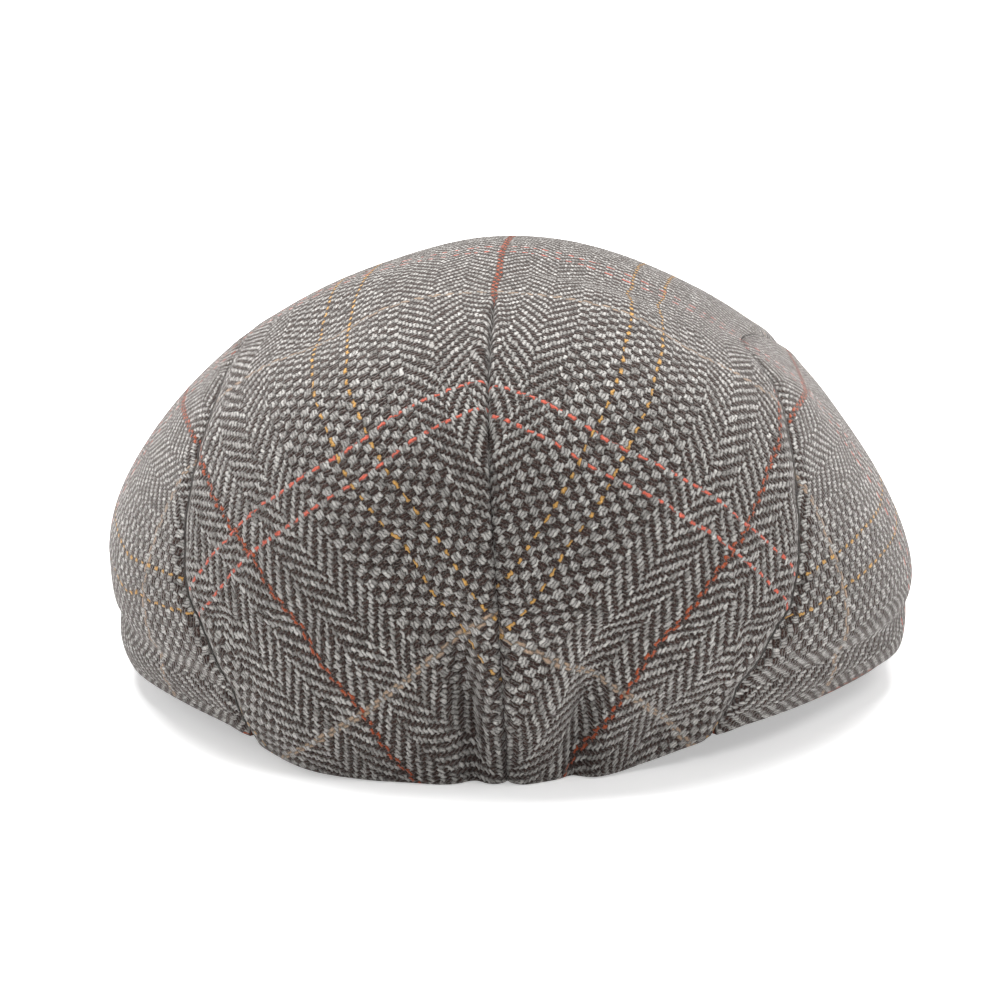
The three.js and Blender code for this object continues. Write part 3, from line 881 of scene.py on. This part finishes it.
top_columns = np.arange(2 * len(half_turns) - 1)
top_turn, top_share = top_grid(top_columns, np.linspace(0, 1, TOP_ROWS), POLE)
top_outer = crown_surface(top_turn[:-1], top_share[:-1])
top_inner = inside_of(top_turn[:-1], top_share[:-1], top_outer)
top = wall_mesh("cap_top", top_outer, top_inner, True)

coarse = np.unique(np.append(top_columns[::LAY_STEP], top_columns[-1]))
lay_rises = 1 - (1 - np.linspace(0, 1, LAY_ROWS)) ** LAY_CROWDING
lay_turn, lay_share = top_grid(coarse, lay_rises, 1)
lay_form = crown_form(lay_turn, lay_share)
steps = np.linalg.norm(np.diff(lay_form, axis=1), axis=-1)
from_pole = np.pad(np.cumsum(steps[:, ::-1], 1)[:, ::-1], ((0, 0), (0, 1)))
fan = np.radians((180 - np.abs(lay_turn)) * TOP_SPREAD)
lay_side = np.where(np.arange(len(coarse)) < len(coarse) / 2, 1, -1)[:, None]
lay_start = np.stack([
    lay_side * from_pole * np.sin(fan),
    -from_pole * np.cos(fan) - TOP_POLE_AHEAD,
], -1)
sewn_row = int(np.searchsorted(lay_rises, DART_APEX))
around = lay_turn + np.where(lay_side < 0, 360, 0)
threads = [(thread[0] % 360, *thread[1:]) for thread in TOP_THREADS]
top_grain = lay_flat(around, lay_share, lay_form, lay_start, threads, -1, sewn_row)
top_pole = top_grain[0, -1]
top_grain = between(top_grain, np.interp(top_columns, coarse, np.arange(len(coarse))), 0)
rise = (top_share - top_share[:, :1]) / (1 - top_share[:, :1])
place = (1 - (1 - rise) ** (1 / LAY_CROWDING)) * (LAY_ROWS - 1)
top_grain = np.stack([between(line, spots, 0) for line, spots in zip(top_grain, place)])
print_grain(top, top_grain, turned_in(top_grain), top_pole)
top.data.materials.append(cloth)
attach(top, "root")
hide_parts("crown_top")

# Side panels.
# Each side of the crown is a panel of the same tweed, laid with its warp from back to front and sewn
# into the curved seam from behind the ear to the peak. Its hem is turned up like the top's.
PANEL_COLUMNS = 150
PANEL_ROWS = 56
PANEL_END = 0.012
PANEL_ROLL_SHARE = 0.75
PANEL_LAY_STEP = 9
PANEL_LAY_ROWS = 12

# Where the panels' threads pass, in the same way as the top's
LEFT_THREADS = (
    (-48, 0.275, 35, -63), (-56.5, 0.27, 35, -47.5), (-66, 0.262, 35, -30), (-70, 0.563, 0, -24),
)
RIGHT_THREADS = (
    (47, 0.3, 35, -65.6), (57, 0.336, 35, -47.5), (76, 0.375, 35, -13.8), (70, 0.595, 0, -24),
)
# A first, even lie of a panel's cloth round one such place, in millimetres to a share and a degree
LIE_TURN, LIE_SHARE, LIE_ACROSS, LIE_AHEAD = 57, 0.3, 35, -47.5
ACROSS_PER_SHARE, AHEAD_PER_TURN = -105, 1.75
# Side, piece, solid and threads
PANELS = (
    (-1, "cap_side_left", "side_left", LEFT_THREADS),
    (1, "cap_side_right", "side_right", RIGHT_THREADS),
)

for side, name, node, threads in PANELS:
    along = np.linspace(PANEL_END, 1 - PANEL_END, PANEL_COLUMNS)
    edge_turns, edge_shares = seam_beside(along, -SEAM_GAP / 2)
    turn_grid = np.repeat(side * edge_turns[:, None], PANEL_ROWS, 1)
    share_grid = edge_shares[:, None] * np.linspace(0, 1, PANEL_ROWS)
    if side < 0:
        turn_grid, share_grid = turn_grid[::-1], share_grid[::-1]
    outer = crown_surface(turn_grid, share_grid, PANEL_ROLL_SHARE)
    inner = inside_of(turn_grid, share_grid, outer)
    panel = wall_mesh(name, outer, inner, False)
    coarse = np.unique(np.append(np.arange(0, PANEL_COLUMNS, PANEL_LAY_STEP), PANEL_COLUMNS - 1))
    rows = np.round(np.linspace(0, PANEL_ROWS - 1, PANEL_LAY_ROWS)).astype(int)
    lay_turn, lay_share = turn_grid[coarse][:, rows], share_grid[coarse][:, rows]
    lie_across = LIE_ACROSS + (lay_share - LIE_SHARE) * ACROSS_PER_SHARE
    lie_ahead = LIE_AHEAD + (np.abs(lay_turn) - LIE_TURN) * AHEAD_PER_TURN
    lay_start = np.stack([lie_across, lie_ahead], -1) * MM
    lay_form = crown_form(lay_turn, lay_share)
    grain = lay_flat(lay_turn, lay_share, lay_form, lay_start, threads, side)
    grain = between(grain, np.interp(np.arange(PANEL_COLUMNS), coarse, np.arange(len(coarse))), 0)
    grain = between(grain, np.interp(np.arange(PANEL_ROWS), rows, np.arange(len(rows))), 1)
    print_grain(panel, grain, turned_in(grain))
    panel.data.materials.append(cloth)
    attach(panel, "root")
    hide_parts(node)

# Peak.
# A stiff crescent board covered in the same tweed and sewn under the front of the crown; only a
# narrow lip of it shows. It arches from side to side and its two corners rest on the table.
PEAK_EDGE = 1.1 * MM
PEAK_START = 102
PEAK_COLUMNS = 160
PEAK_ROWS = 40
PEAK_CROWDING = 0.8
PEAK_ROUNDING = 2 * MM

peak_turns = np.linspace(PEAK_START, 360 - PEAK_START, PEAK_COLUMNS)
peak_turns = np.where(peak_turns > 180, peak_turns - 360, peak_turns)
peak_reaches = np.linspace(0, 1, PEAK_ROWS) ** PEAK_CROWDING
edge_x, edge_y = peak_plan(peak_turns)
opening_x, opening_y = plan(peak_turns, HEAD_WIDTH / 2, HEAD_LENGTH / 2, HEAD_LENGTH / 2)
x = opening_x[:, None] + (edge_x - opening_x)[:, None] * peak_reaches
y = opening_y[:, None] + (edge_y - opening_y)[:, None] * peak_reaches
under = np.maximum(peak_zero - peak_fall(x, y), 0)
span = np.hypot(edge_x - opening_x, edge_y - opening_y)[:, None]
from_edge = (1 - peak_reaches) * span
near_edge = 1 - np.clip(from_edge / PEAK_ROUNDING, 0, 1)
rounding = PEAK_EDGE * (1 - np.sqrt(np.clip(1 - near_edge**2, 0, 1)))
over = under + PEAK_THICKNESS - rounding
under = under + np.where(under > PEAK_REST, rounding, 0)
peak_faces = (np.stack([x, y, z], -1)[::-1] for z in (over, under))
peak = wall_mesh("cap_peak", *peak_faces, False)
peak_grain = np.stack([x, -y], -1)[::-1]
print_grain(peak, peak_grain, turned_in(peak_grain[:, ::-1])[:, ::-1])
peak.data.materials.append(cloth)
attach(peak, "root")
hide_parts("peak")

# Floor and light.
# A plain white table that glows a little, so that shadows stay faint. Soft boxes stand above the
# cap, at both of its sides and behind it, in pale light all round.
FLOOR_REACH = 8
FLOOR_DROP = 0.2 * MM
FLOOR_WHITE = (0.86, 0.86, 0.86, 1)
WHITE = (1, 1, 1, 1)
# Name, watts, width in metres and place
LAMPS = (
    ("softbox above", 80, 1.5, (-0.1, 0.55, 1.6)),
    ("softbox left", 8, 1.0, (-1.3, 0.2, 0.6)),
    ("softbox right", 3, 1.0, (1.3, 0.2, 0.6)),
    ("softbox behind", 6, 0.5, (0.85, -0.65, 1.2)),
)

floor_mesh = bpy.data.meshes.new("floor")
corners = [(FLOOR_REACH * x, FLOOR_REACH * y, 0) for x, y in ((-1, -1), (1, -1), (1, 1), (-1, 1))]
floor_mesh.from_pydata(corners, [], [(0, 1, 2, 3)])
floor = bpy.data.objects.new("floor", floor_mesh)
floor.location.z = -FLOOR_DROP
bpy.context.scene.collection.objects.link(floor)
floor_paint = bpy.data.materials.new("floor")
floor_paint.use_nodes = True
paint = floor_paint.node_tree.nodes["Principled BSDF"]
paint.inputs["Base Color"].default_value = FLOOR_WHITE
paint.inputs["Roughness"].default_value = 0.9
paint.inputs["Emission Color"].default_value = WHITE
paint.inputs["Emission Strength"].default_value = 0.42
paint.inputs["Specular IOR Level"].default_value = 0.1
floor_mesh.materials.append(floor_paint)

world = bpy.data.worlds.new("studio")
world.use_nodes = True
sky = world.node_tree.nodes["Background"]
sky.inputs["Color"].default_value = WHITE
sky.inputs["Strength"].default_value = 0.25
bpy.context.scene.world = world
bpy.context.scene.view_settings.view_transform = "Standard"

for name, energy, width, place in LAMPS:
    lamp_data = bpy.data.lights.new(name, "AREA")
    lamp_data.size = width
    lamp_data.energy = energy
    lamp = bpy.data.objects.new(name, lamp_data)
    bpy.context.scene.collection.objects.link(lamp)
    lamp.location = place
    lamp.rotation_euler = (Vector((0, 0, 0)) - lamp.location).to_track_quat("-Z", "Y").to_euler()
